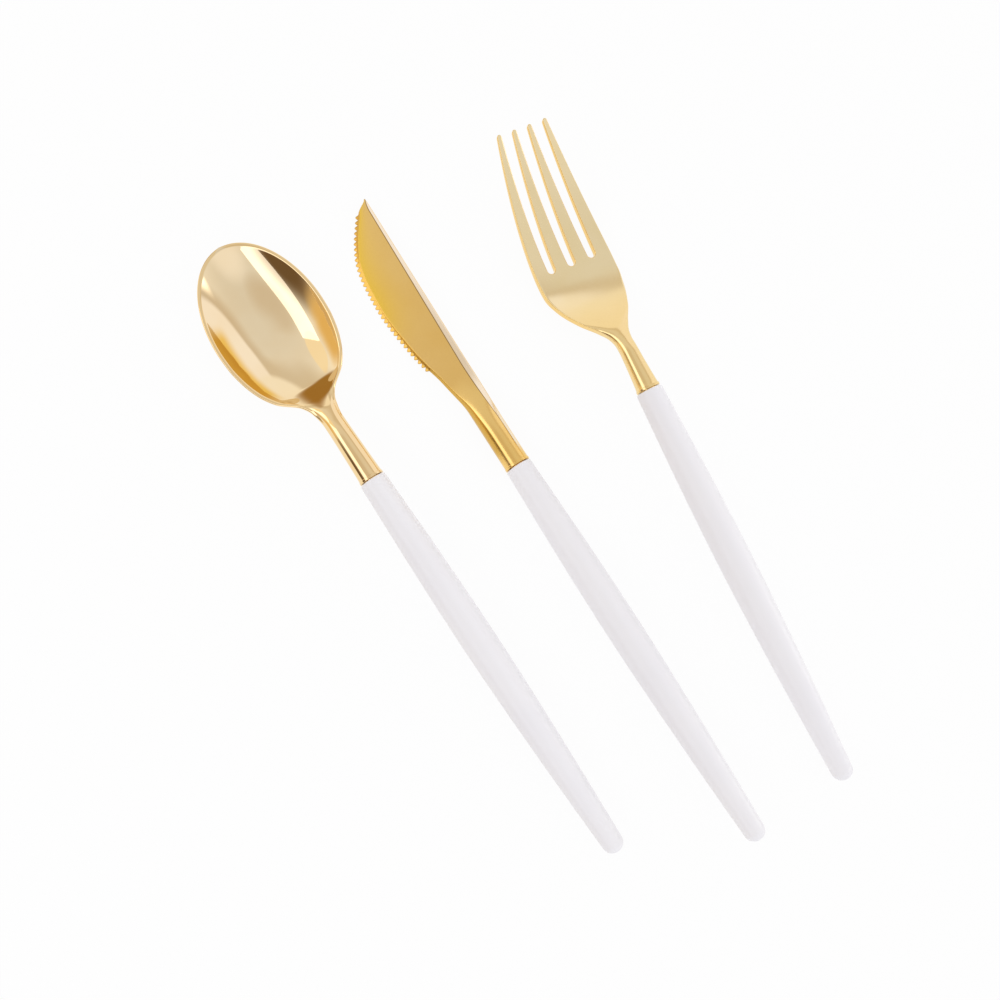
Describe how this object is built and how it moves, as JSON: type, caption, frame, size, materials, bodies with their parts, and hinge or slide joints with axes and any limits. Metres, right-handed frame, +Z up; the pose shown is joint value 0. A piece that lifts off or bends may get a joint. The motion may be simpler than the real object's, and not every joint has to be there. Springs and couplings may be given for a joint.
{
  "type": "plastic cutlery set",
  "caption": "Plastic spoon, knife and fork lying side by side: metallised gold heads pushed into slim tapered white handles, for serving and eating at parties.",
  "frame": {"origin": "centre of the set's bounding box at the level of the table it lies on", "axes": "+Y along the knife from its handle to its point, +X from the spoon towards the fork, +Z up from the table"},
  "size_m": [0.1136, 0.2162, 0.0186],
  "materials": {
    "mirror_gold": "moulded plastic with a mirror-bright metallised gold coat",
    "satin_gold": "moulded plastic with a satin metallised gold coat, brighter on the necks",
    "white_plastic": "glossy moulded white plastic"
  },
  "bodies": {
    "root": {"spoon_head": "mirror_gold", "spoon_handle": "white_plastic", "knife_head": "satin_gold", "knife_handle": "white_plastic", "fork_head": "satin_gold", "fork_handle": "white_plastic"}
  },
  "joints": []
}
